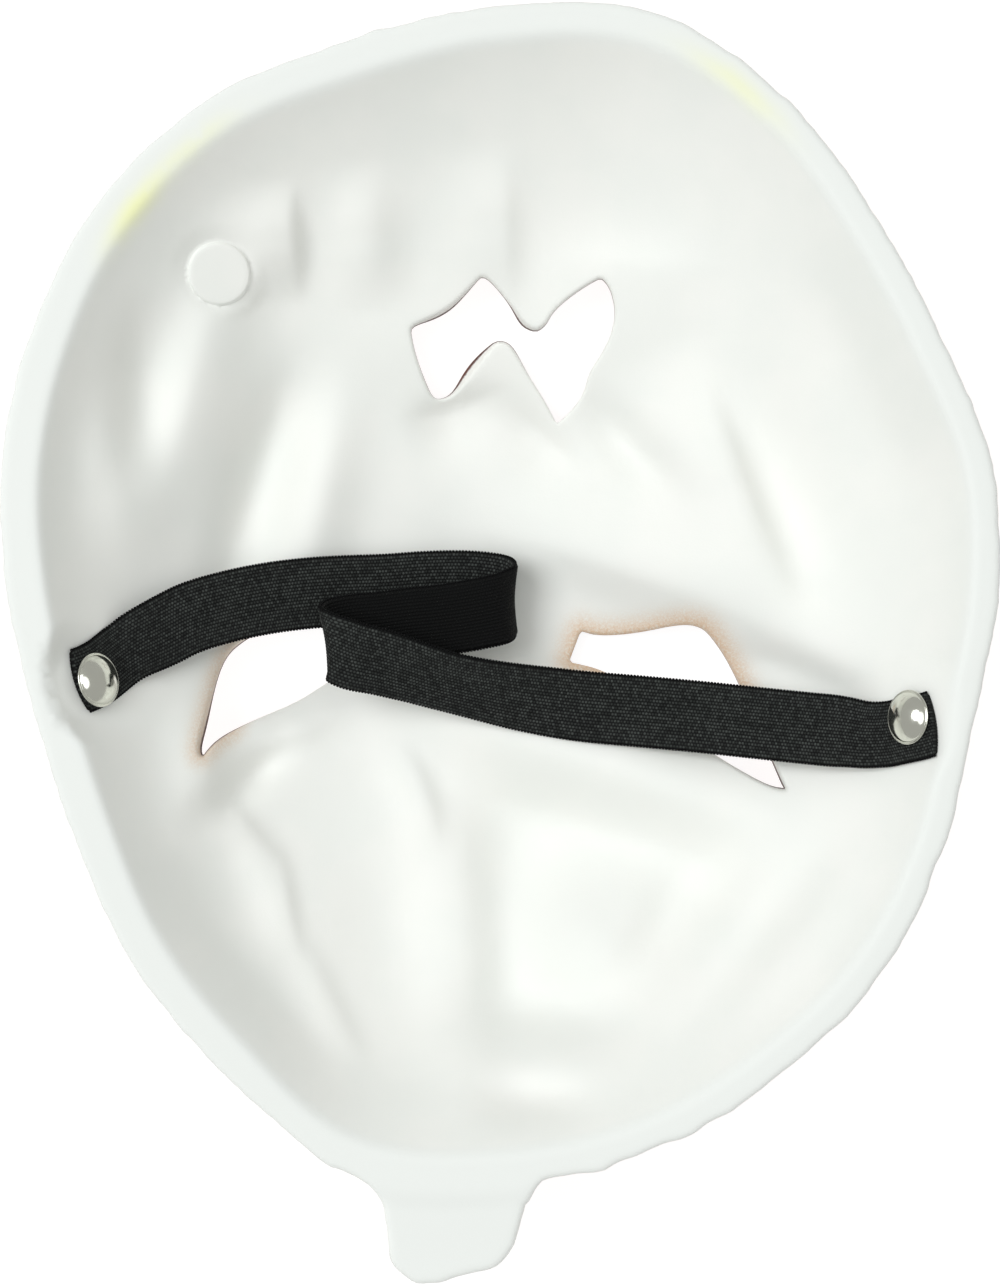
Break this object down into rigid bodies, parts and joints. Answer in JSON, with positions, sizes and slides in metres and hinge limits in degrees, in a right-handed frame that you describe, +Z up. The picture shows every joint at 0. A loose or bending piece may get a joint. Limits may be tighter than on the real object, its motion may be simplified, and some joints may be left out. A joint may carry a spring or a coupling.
{
  "type": "foam pumpkin mask",
  "caption": "Bowl-shaped foam face mask of a carved pumpkin, with cut eyes and mouth, a stem tab and a riveted elastic head strap.",
  "frame": {"origin": "on the table below the middle of the mask, which lies face down", "axes": "+Z up out of the hollow side, +Y from the stem to the chin, +X to the right as seen from above"},
  "size_m": [0.2198, 0.2837, 0.0555],
  "materials": {
    "foam": "matt latex foam, left white inside and painted outside",
    "elastic": "black braided elastic",
    "nickel": "polished nickel plate"
  },
  "bodies": {
    "root": {"foam_shell": "foam", "elastic_strap": "elastic", "rivet_left": "nickel", "rivet_right": "nickel"}
  },
  "joints": []
}
